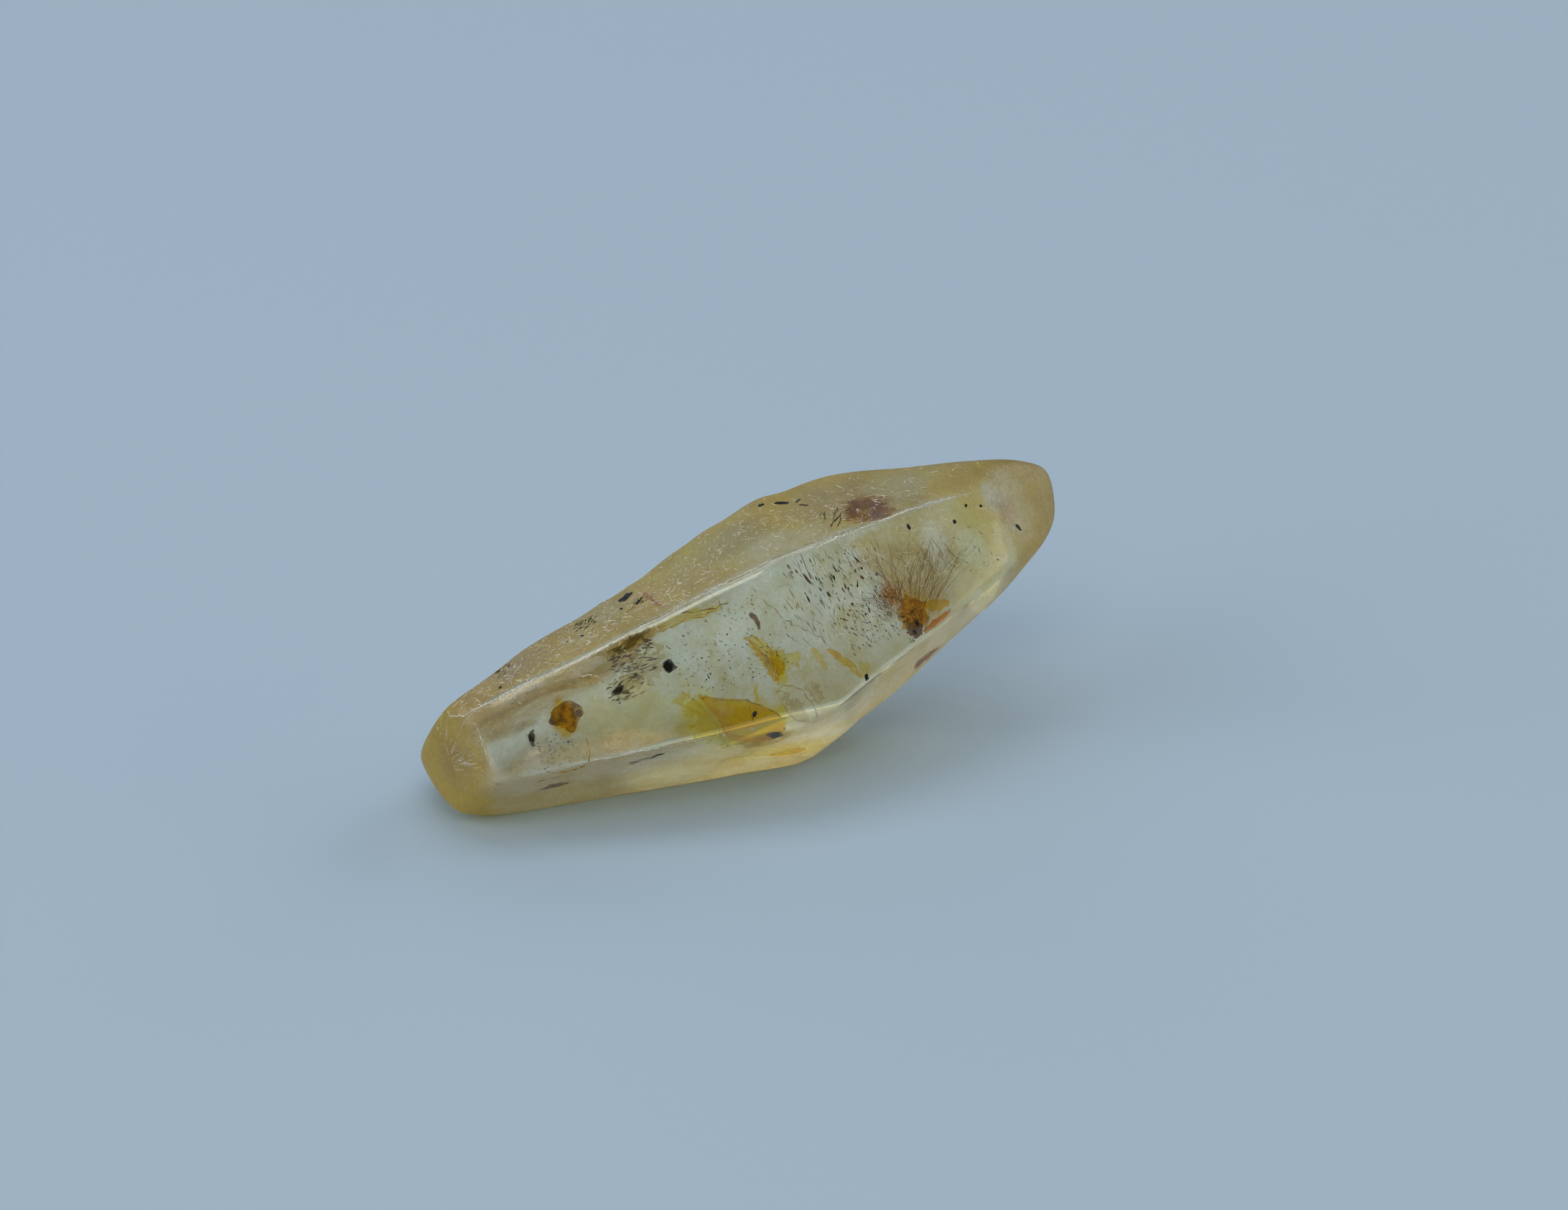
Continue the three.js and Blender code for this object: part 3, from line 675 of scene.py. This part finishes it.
STAINS = {  # kind: name, deep colour, pale colour, size of blotches, cover, alpha, see-through
    "amber": ("amber_stain", (0.97, 0.56, 0.0), (1.0, 0.80, 0.02), 0.9, 1.1, 1.0, 0.97),
    "honey": ("honey_stain", (0.84, 0.66, 0.06), (0.97, 0.86, 0.30), 0.6, 0.45, 0.75, 0.97),
    "straw": ("straw_stain", (0.86, 0.58, 0.04), (0.98, 0.82, 0.16), 0.6, 0.55, 0.75, 0.96),
    "blot": ("rust_blot_stain", (0.12, 0.035, 0.002), (0.74, 0.42, 0.008), 0.22, 0.95, 1.0, 0.95),
    "olive": ("olive_stain", (0.10, 0.07, 0.004), (0.66, 0.52, 0.02), 0.35, 0.6, 0.9, 0.95),
    "red": ("red_stain", (0.20, 0.05, 0.004), (0.56, 0.23, 0.03), 0.25, 0.8, 0.95, 0.94),
    "tan": ("tan_stain", (0.56, 0.40, 0.18), (0.84, 0.72, 0.42), 0.4, 0.5, 0.6, 0.94),
    "orange": ("orange_stain", (0.60, 0.18, 0.01), (0.88, 0.42, 0.02), 0.3, 0.8, 0.9, 0.92),
    "ember": ("ember_stain", (0.40, 0.14, 0.005), (0.96, 0.56, 0.06), 0.16, 0.95, 0.95, 0.95),
    "cinder": ("cinder_stain", (0.45, 0.16, 0.03), (0.78, 0.44, 0.14), 0.12, 0.3, 0.7, 0.95),
    "shelf": ("shelf_stain", (0.70, 0.48, 0.06), (0.98, 0.80, 0.24), 0.25, 0.6, 0.5, 0.96),
    "dark_rust": ("dark_rust_stain", (0.08, 0.022, 0.003), (0.40, 0.16, 0.02), 0.2, 1.0, 0.95, 0.88),
    # white veils that stand for painted reflections and glints
    "painted_reflection": ("painted_reflection_veil", (0.84, 0.85, 0.78), (1.0, 1.0, 0.96), 0.3, 1.0, 0.7, 0.3),
    "pink": ("pink_rind", (0.80, 0.62, 0.50), (0.98, 0.90, 0.80), 0.3, 0.6, 0.5, 0.3)}
film_materials = {kind: film_material(*stain) for kind, stain in STAINS.items()}
for seed, (film_name, (depth, thickness, ragged, kind, outline)) in enumerate(FILMS.items()):
    film = film_mesh(film_name, outline, depth, thickness, ragged, seed * 7)
    add_piece(film_name, film, film_materials[kind])

# ---- Dark grains
# Small crystals of dark spinel and ilmenite, caught as the sapphire grew, and films of the
# same black oxide on the skin of the top band.
GRAINS = [  # along, turn, depth, half sizes along, across and deep, turned on the face, squareness
    # under the front face
    (-2.36, 36, 0.08, 0.15, 0.17, 0.04, 15, 5), (-6.98, 27, 0.04, 0.08, 0.13, 0.03, -20, 3),
    (-7.04, 20, 0.04, 0.06, 0.07, 0.02, 10, 3), (-6.86, 32, 0.03, 0.03, 0.04, 0.01, 10, 3),
    (-4.03, 35, 0.05, 0.20, 0.10, 0.04, 20, 2.2), (-3.85, 31, 0.05, 0.10, 0.06, 0.03, -10, 2.2),
    (0.19, -35, 0.06, 0.17, 0.32, 0.03, 30, 2.5), (-0.49, -7, 0.0, 0.09, 0.05, 0.015, 40, 2.5),
    (5.22, -6, 0.02, 0.09, 0.07, 0.03, 0, 2.2), (5.4, -3, 0.02, 0.06, 0.09, 0.03, 30, 2.2),
    # on the top band
    (-2.38, 102, 0.0, 0.24, 0.12, 0.02, 20, 2.5), (-2.19, 88, 0.0, 0.16, 0.05, 0.015, 30, 2.5),
    (-2.74, 90, 0.0, 0.05, 0.05, 0.015, 0, 2.5), (-4.22, 85, 0.0, 0.05, 0.06, 0.015, 0, 2.5),
    (3.35, 109, 0.0, 0.20, 0.07, 0.015, -8, 2.5), (3.86, 108, 0.0, 0.12, 0.03, 0.015, 30, 2.5),
    (3.89, 103, 0.0, 0.16, 0.03, 0.015, -40, 2.5), (2.73, 110, 0.0, 0.09, 0.06, 0.015, 0, 2.5),
    # round the tips and ridges
    (8.42, 62, 0.0, 0.04, 0.04, 0.02, 0, 2.5), (8.88, 59, 0.0, 0.04, 0.04, 0.02, 0, 2.5),
    (7.85, 53, 0.0, 0.05, 0.06, 0.02, 0, 2.5), (6.36, 59, 0.0, 0.04, 0.08, 0.02, 10, 2.5),
    (3.19, -11, 0.0, 0.06, 0.09, 0.02, 0, 2.5), (9.92, 20, 0.0, 0.05, 0.14, 0.02, 30, 2.5),
    (-7.2, 77, 0.0, 0.05, 0.04, 0.015, 0, 2.5), (-4.67, 86, 0.0, 0.04, 0.04, 0.015, 0, 2.5),
    # on the back
    (-1.6, 172, 0.0, 0.10, 0.07, 0.015, 20, 2.5), (3.4, 158, 0.0, 0.06, 0.12, 0.015, 0, 3),
    (-5.2, 196, 0.0, 0.07, 0.05, 0.015, 40, 2.5)]


def grain_points(along, turn, depth, long, wide, deep, twist, square, seed, rings=13, sides=20):
    """A blunt block: a ball whose sine and cosine are raised to 2 over the squareness, with a
    little unevenness, laid along the skin and turned on it by the twist."""
    latitude = np.linspace(0, math.pi, rings + 1)[:, None]
    longitude = np.linspace(0, 2 * math.pi, sides, endpoint=False)[None, :]
    power = 2 / square
    ball = np.stack([-np.cos(latitude) + 0 * longitude, np.sin(latitude) * np.cos(longitude),
                     np.sin(latitude) * np.sin(longitude)], -1)
    block = np.sign(ball) * np.abs(ball) ** power
    block *= (1 + 0.22 * mottle(ball, 1.4, seed))[..., None] * np.array([long, wide, deep])
    bend = math.radians(twist)
    x = block[..., 0] * math.cos(bend) - block[..., 1] * math.sin(bend)
    y = block[..., 0] * math.sin(bend) + block[..., 1] * math.cos(bend)
    girth = crystal_place(surface_at(along, turn, 0.0))[2]
    return surface_at(along + x, turn + np.degrees(y / girth), depth - block[..., 2])


def joined_blocks(name, blocks):
    """One mesh from closed blocks of rings, whose first and last rings are their tips. Their
    rings run the other way round than the crystal's, so each face is turned over."""
    vertices, faces, start = [], [], 0
    for block in blocks:
        quads, fans = closed_faces(block.shape[0] - 2, block.shape[1])
        vertices.append(np.concatenate([block[1:-1].reshape(-1, 3), block[0, :1], block[-1, :1]]))
        faces += (quads[:, [0, 3, 2, 1]] + start).tolist() + (fans[:, [0, 2, 1]] + start).tolist()
        start += len(vertices[-1])
    mesh = bpy.data.meshes.new(name)
    mesh.from_pydata(np.concatenate(vertices) * MM, [], faces)
    mesh.shade_smooth()
    return mesh


def inclusion_material(name, deep, pale, size, roughness, alpha=1.0):
    """Solid stuff in two colours that alternate in blotches."""
    material, tree, shader = new_material(name)
    shader.inputs["Roughness"].default_value = roughness
    shader.inputs["IOR"].default_value = 1.2
    shader.inputs["Alpha"].default_value = alpha
    place = tree.nodes.new("ShaderNodeTexCoord").outputs["Object"]
    tree.links.new(two_tone(tree, place, deep, pale, size), shader.inputs["Base Color"])
    return material


grain_blocks = [grain_points(*grain, seed=40 + number) for number, grain in enumerate(GRAINS)]
add_piece("dark_grains", joined_blocks("dark_grains", grain_blocks),
          inclusion_material("dark_oxide", (0.004, 0.004, 0.004), (0.03, 0.03, 0.035), 0.15, 0.4))

# ---- Needles, fibres and specks
# Rutile and iron oxide grew in the sapphire as thin needles: a rain of short dark slivers
# under the front face, fans of fine brown fibres to their right, and lace on the left.
SLIVER_FIELDS = {  # name: along and turn of four corners, count, length, thickness, slope, depth
    "rain": ([(1.2, 26), (2.0, 60), (5.2, 58), (4.4, 4)], 100, 0.15, 0.014, -84, 0.02),
    "rain_hair": ([(1.0, 20), (2.0, 60), (5.4, 60), (4.6, 2)], 150, 0.30, 0.0065, -82, 0.06),
    "rain_bold": ([(2.0, 36), (2.4, 60), (4.6, 54), (4.2, 34)], 22, 0.24, 0.024, -82, 0.0),
    "middle_specks": ([(-2.2, 8), (-2.2, 50), (1.0, 54), (1.2, 6)], 190, 0.06, 0.013, -60, 0.01),
    "right_specks": ([(3.0, 0), (3.0, 22), (5.0, 30), (5.0, -4)], 130, 0.10, 0.014, -70, 0.03),
    "rust_specks": ([(5.0, -10), (5.0, 4), (5.7, 6), (5.7, -8)], 90, 0.08, 0.018, -50, 0.02),
    "left_lace": ([(-4.0, 48), (-3.9, 60), (-2.5, 58), (-2.8, 36)], 130, 0.17, 0.016, -20, 0.04),
    "blot_lace": ([(-4.4, 26), (-4.4, 42), (-3.2, 42), (-3.4, 22)], 50, 0.20, 0.015, 10, 0.05),
    "left_ring": ([(-7.1, -4), (-7.0, 24), (-5.8, 22), (-5.8, -6)], 60, 0.06, 0.012, 0, 0.01),
    "top_left": ([(-4.3, 93), (-4.2, 103), (-3.4, 101), (-3.6, 92)], 60, 0.14, 0.012, 30, 0.0),
    "top_middle": ([(-2.6, 84), (-2.5, 92), (-1.8, 92), (-1.9, 84)], 26, 0.12, 0.012, 30, 0.0),
    "top_far_left": ([(-7.1, 88), (-7.0, 102), (-6.4, 100), (-6.5, 90)], 40, 0.12, 0.009, 40, 0.0),
    "low_lace": ([(-4.35, -31), (-4.3, -25), (-3.4, -21), (-3.4, -26)], 36, 0.22, 0.013, 10, 0.02),
    "low_left_lace": ([(-7.0, -42), (-6.9, -34), (-6.2, -36), (-6.3, -47)], 24, 0.12, 0.012, 10, 0.02),
    "tip_specks": ([(7.5, 5), (7.5, 50), (9.2, 40), (9.0, 5)], 24, 0.14, 0.010, -70, 0.03),
    "top_strokes": ([(4.0, 76), (4.1, 90), (4.8, 92), (4.9, 76)], 14, 0.34, 0.020, 65, 0.0),
    "back_specks": ([(-3.5, 150), (-3.0, 200), (2.5, 196), (3.0, 150)], 70, 0.12, 0.012, -60, 0.01),
    "back_lace": ([(4.0, 170), (4.2, 205), (6.8, 200), (6.4, 165)], 60, 0.18, 0.012, 30, 0.02)}

FRONT_GIRTH = 3.2  # how far the front face lies from the axis, about


def threads(paths, radius, sides=4):
    """A closed thread along each path: round every inner station a ring whose radius (one, one
    for each thread or one for each station) swells with the square root of the sine along the
    thread, and a point at each end."""
    count, stations = paths.shape[:2]
    tangent = np.gradient(paths, axis=1)
    tangent /= np.linalg.norm(tangent, axis=-1, keepdims=True)
    across = np.cross(tangent, np.array([0.31, 0.22, 0.92]))
    across /= np.linalg.norm(across, axis=-1, keepdims=True)
    other = np.cross(tangent, across)
    swell = np.sqrt(np.sin(np.linspace(0, math.pi, stations)).clip(0))
    size = np.broadcast_to(radius * swell, (count, stations))
    turn = np.linspace(0, 2 * math.pi, sides, endpoint=False)
    return (paths[:, :, None] + size[..., None, None] * (
        np.cos(turn)[:, None] * across[:, :, None] + np.sin(turn)[:, None] * other[:, :, None]))


def sliver_paths(corners, count, length, slope, depth, seed, stations=4):
    """Short straight paths in a field between four corners. Each slopes on the skin by the
    slope, give or take a few degrees, and lies at its own depth."""
    rng = np.random.default_rng(seed)
    (a, b, c, d), s, t = np.array(corners, float), rng.random((count, 1)), rng.random((count, 1))
    middle = (a * (1 - s) + d * s) * (1 - t) + (b * (1 - s) + c * s) * t
    lengths = length * rng.lognormal(0, 0.45, count)
    bearing = np.radians(slope + rng.normal(0, 14, count))
    step = np.linspace(-0.5, 0.5, stations)
    along = middle[:, :1] + (lengths * np.cos(bearing))[:, None] * step
    turn = middle[:, 1:] + np.degrees(lengths * np.sin(bearing) / FRONT_GIRTH)[:, None] * step
    deep = depth * rng.uniform(0.3, 1.6, count)[:, None] + 0 * step
    return surface_at(along, turn, deep)


dark_threads = []
for seed, (corners, count, length, thickness, slope, depth) in enumerate(SLIVER_FIELDS.values()):
    paths = sliver_paths(corners, count, length, slope, depth, 100 + seed)
    thick = thickness * np.random.default_rng(200 + seed).lognormal(0, 0.35, (count, 1))
    dark_threads += list(threads(paths, thick))
add_piece("dark_needles", joined_blocks("dark_needles", dark_threads),
          inclusion_material("dark_needle", (0.015, 0.010, 0.006), (0.14, 0.07, 0.025), 0.4, 0.4, 0.9))

FANS = [  # root along and turn, first and last bearing, count, length, thickness, depth
    (5.2, -14, 36, 106, 120, 4.6, 0.0055, 0.04), (4.9, 4, 55, 125, 60, 1.8, 0.007, 0.03),
    (7.0, 52, -122, -74, 60, 2.6, 0.0045, 0.04), (5.4, 72, 80, 165, 60, 0.9, 0.010, 0.0),
    (-3.2, 38, 120, 200, 36, 0.55, 0.010, 0.06), (0.6, 6, 60, 120, 30, 0.9, 0.006, 0.1)]


def fan_paths(root, first, last, count, length, depth, seed, stations=8):
    """Fibres that spread from near a root between two bearings, each bent a little and
    starting a random way out."""
    rng = np.random.default_rng(seed)
    bearing = np.radians(rng.uniform(first, last, count))
    bend = rng.normal(0, 0.18, count)
    start = length * rng.uniform(0.05, 0.55, count)
    reach = length * rng.uniform(0.25, 0.55, count)
    step = np.linspace(0, 1, stations)
    out = start[:, None] + reach[:, None] * step
    angle = bearing[:, None] + bend[:, None] * step
    along = root[0] + out * np.cos(angle) + rng.normal(0, 0.1, count)[:, None]
    turn = root[1] + np.degrees(out * np.sin(angle) / FRONT_GIRTH) + rng.normal(0, 2, count)[:, None]
    return surface_at(along, turn, depth * rng.uniform(0.3, 1.5, count)[:, None] + 0 * step)


fibre_threads = []
for seed, (along, turn, first, last, count, length, thickness, depth) in enumerate(FANS):
    paths = fan_paths((along, turn), first, last, count, length, depth, 300 + seed)
    fibre_threads += list(threads(paths, thickness))
add_piece("brown_fibres", joined_blocks("brown_fibres", fibre_threads),
          inclusion_material("brown_fibre", (0.20, 0.11, 0.03), (0.52, 0.35, 0.14), 0.3, 0.5, 0.85))

# ---- Stain lines
# Water with iron in it soaked into the rims of cracks and dried there, which left thin brown
# and yellow lines of rust and limonite just under the skin.
STAIN_LINES = [  # places as (along, turn), radius, depth
    ([(-8.25, 52), (-7.6, 58), (-6.92, 61.5), (-6.6, 62), (-6.0, 59), (-5.3, 57), (-4.86, 54),
      (-4.24, 44)], 0.010, 0.02),
    ([(-1.75, 8), (-1.0, 1.8), (-0.56, -0.7), (-0.31, -3.7), (0.15, -9.7), (0.45, -16.7)], 0.018, 0.06),
    ([(-0.52, -2), (-0.58, -6), (-0.66, -12)], 0.014, 0.05),
    ([(0.67, 62), (0.96, 51), (1.43, 34), (2.28, 16), (2.7, 0)], 0.010, 0.01),
    ([(-7.0, -3), (-6.7, -9), (-6.3, -12), (-5.9, -11), (-5.6, -6), (-5.45, 4), (-5.5, 12)], 0.020, 0.0),
    ([(0.35, -2), (0.45, -10), (0.8, -20), (1.2, -30), (1.0, -38)], 0.014, 0.02),
    ([(0.3, -1), (0.7, 1), (1.1, -3), (1.3, -12), (1.45, -28), (1.3, -40)], 0.014, 0.02),
    ([(-7.4, -17), (-6.9, -18.5), (-6.39, -19)], 0.016, 0.02),
    ([(-2.0, 62), (-1.2, 60), (-0.5, 56), (0.1, 55)], 0.020, 0.05),
    ([(-0.4, 64), (-0.2, 58), (-0.25, 52)], 0.012, 0.03)]


def line_paths(places, depth, seed, stations=96):
    """One path through the places in even steps, shaken a little by a slow random wave."""
    places = np.array(places, float)
    share = np.linspace(0, len(places) - 1, stations)
    along = np.interp(share, np.arange(len(places)), places[:, 0])
    turn = np.interp(share, np.arange(len(places)), places[:, 1])
    wave = np.stack([along, turn * MM_PER_DEGREE, 0 * along], -1)
    along = along + 0.03 * mottle(wave, 0.4, seed)
    turn = turn + 0.5 * mottle(wave, 0.3, seed + 1)
    return surface_at(along, turn, depth)[None]


def beaded(paths, radius, size, seed):
    """A radius for each station that swells and shrinks along the thread by a random wave."""
    return radius * (0.75 + 0.55 * mottle(paths, size, seed)).clip(0.15, 1.6)


line_threads = []
for seed, (places, radius, depth) in enumerate(STAIN_LINES):
    line = line_paths(places, depth, 500 + 2 * seed)
    line_threads += list(threads(line, beaded(line, radius, 0.25, 520 + seed), sides=6))
add_piece("stain_lines", joined_blocks("stain_lines", line_threads),
          inclusion_material("stain_line", (0.16, 0.06, 0.005), (0.62, 0.34, 0.03), 0.25, 0.4, 0.85))

# ---- Scratches and painted highlights
# Knocks in the river left hairline scratches on the frosted top band and the tips, white partly
# as painted highlights caught in them, and bruised the ridges. White beaded lines along the
# ridges and a few white spots are painted highlights and glints.
SCRATCHES = [  # along, turn, half spread along and across, count, length, radius
    (-3.9, 82, 0.5, 0.35, 34, 0.30, 0.009), (-1.45, 75, 0.45, 0.3, 30, 0.26, 0.009),
    (-6.5, 78, 0.5, 0.4, 24, 0.3, 0.009), (-8.0, 78, 0.3, 0.3, 5, 0.4, 0.009),
    (0.1, 78, 0.1, 0.25, 3, 0.6, 0.010), (-8.9, 35, 0.15, 1.0, 50, 0.22, 0.005),
    (9.8, 40, 0.5, 1.2, 60, 0.35, 0.006), (6.8, 92, 1.2, 0.6, 26, 0.35, 0.008),
    (-5.6, 84, 2.4, 0.7, 60, 0.2, 0.007), (0.5, 88, 4.5, 0.9, 260, 0.2, 0.007),
    (4.4, 52, 0.6, 0.8, 90, 0.35, 0.005), (6.9, 45, 0.6, 0.7, 60, 0.35, 0.005),
    (2.0, 4, 0.9, 0.7, 50, 0.3, 0.004), (0, 165, 5.0, 1.6, 160, 0.3, 0.006),
    (-6.5, 90, 1.6, 0.7, 170, 0.14, 0.007), (-1.5, 92, 1.8, 0.8, 200, 0.14, 0.007),
    (3.5, 88, 2.0, 0.7, 200, 0.14, 0.007)]
# painted highlights: white beaded lines along the upper and lower ridges and the left tip's edge, and
# white glints on the amber film and beside the dark blotch
PAINTED_HIGHLIGHT_LINES = [  # places as (along, turn), radius
    ([(-8.88, 96), (-8.78, 84), (-8.6, 74), (-7.8, 69), (-6.6, 68), (-5.4, 65), (-4.2, 63.5), (-3, 63.8),
      (-1.5, 64.3), (0.4, 64.3), (3.0, 63.3), (4.3, 65)], 0.023),
    ([(2.6, 63.2), (3.3, 63), (4.0, 64.5), (4.5, 65.5)], 0.034),
    ([(4.5, 65), (5.3, 67.6), (6.6, 69), (7.6, 70), (8.9, 70)], 0.020),
    ([(-6.2, -4.5), (-4.8, -8.5), (-4.05, -9), (-2.8, -13.5), (-1.95, -13)], 0.018),
    ([(-8.62, 70), (-8.3, 60), (-8.34, 45), (-8.36, 30), (-8.4, 5)], 0.012),
    ([(-8.33, 50), (-8.34, 47), (-8.36, 45)], 0.030),
    ([(-1.52, -13), (-1.46, -18)], 0.030),
    ([(-0.70, -15), (-0.56, -20), (-0.44, -24)], 0.020),
    ([(-5.0, 56), (-4.7, 54.5), (-4.4, 50)], 0.020),
    ([(-4.5, -7.5), (-4.2, -8.2)], 0.028)]

SCRATCH_ENDS = (-9.2, 9.6)  # along, clear of the tips
SCRATCH_PROUD, TICK_PROUD, HIGHLIGHT_LINE_PROUD = 0.006, 0.005, 0.004
RIDGE_GIRTH = 3.4


def scratch_paths(along, turn, long, wide, count, length, seed, stations=9):
    """Hooked hairlines round a place: each bearing turns steadily along the scratch."""
    rng = np.random.default_rng(seed)
    bearing = rng.uniform(0, 2 * math.pi, count)[:, None]
    hook = rng.normal(0, 1.6, count)[:, None]
    step = np.linspace(0, 1, stations)
    stretch = (length * rng.uniform(0.5, 1.4, count))[:, None] / (stations - 1)
    x = np.cumsum(stretch * np.cos(bearing + hook * step), axis=1)
    y = np.cumsum(stretch * np.sin(bearing + hook * step), axis=1)
    x = np.clip(x + along + rng.normal(0, long, count)[:, None], *SCRATCH_ENDS)
    y = turn + np.degrees((y + rng.normal(0, wide, count)[:, None]) / FRONT_GIRTH)
    return surface_at(x, y, -SCRATCH_PROUD)


def ridge_bruises_and_highlights(ridge, count, length, seed, stations=4):
    """Short bruises across a ridge, white as painted beads of highlight along it: evenly jittered
    places along the ridge's line, each tick at about a right angle to it."""
    rng = np.random.default_rng(seed)
    ridge = np.array(ridge)
    along = np.linspace(ridge[0, 0], ridge[-1, 0], count) + rng.normal(0, 0.02, count)
    turn = np.interp(along, *ridge.T) + rng.normal(0, 0.35, count)
    step = np.linspace(-0.5, 0.5, stations)
    reach = length * rng.lognormal(0, 0.4, count)
    slope = rng.normal(0, 0.3, count)
    x = along[:, None] + (reach * np.sin(slope))[:, None] * step
    y = turn[:, None] + np.degrees(reach * np.cos(slope) / RIDGE_GIRTH)[:, None] * step
    return surface_at(x, y, -TICK_PROUD)


# painted highlight: white ticks across the upper ridge paint its bright beaded line, over bruises of its
# edge
scratch_and_highlight_threads = list(threads(ridge_bruises_and_highlights(UPPER_RIDGE[:-1], 360, 0.07, 77), 0.008))
# painted highlights: the white beaded lines and glint spots
for seed, (places, radius) in enumerate(PAINTED_HIGHLIGHT_LINES):
    line = line_paths(places, -HIGHLIGHT_LINE_PROUD, 600 + 2 * seed, stations=48 * len(places))
    scratch_and_highlight_threads += list(threads(line, beaded(line, radius, 0.12, 620 + seed), sides=6))
for seed, (along, turn, long, wide, count, length, radius) in enumerate(SCRATCHES):
    paths = scratch_paths(along, turn, long, wide, count, length, 400 + seed)
    scratch_and_highlight_threads += list(threads(paths, radius))
# white of the scratches, partly painted highlight, and of the painted highlight lines and glints
add_piece("scratches", joined_blocks("scratches", scratch_and_highlight_threads),
          inclusion_material("scratch_and_highlight_white", (0.75, 0.73, 0.62), (0.95, 0.94, 0.88), 0.5, 0.3, 0.8))
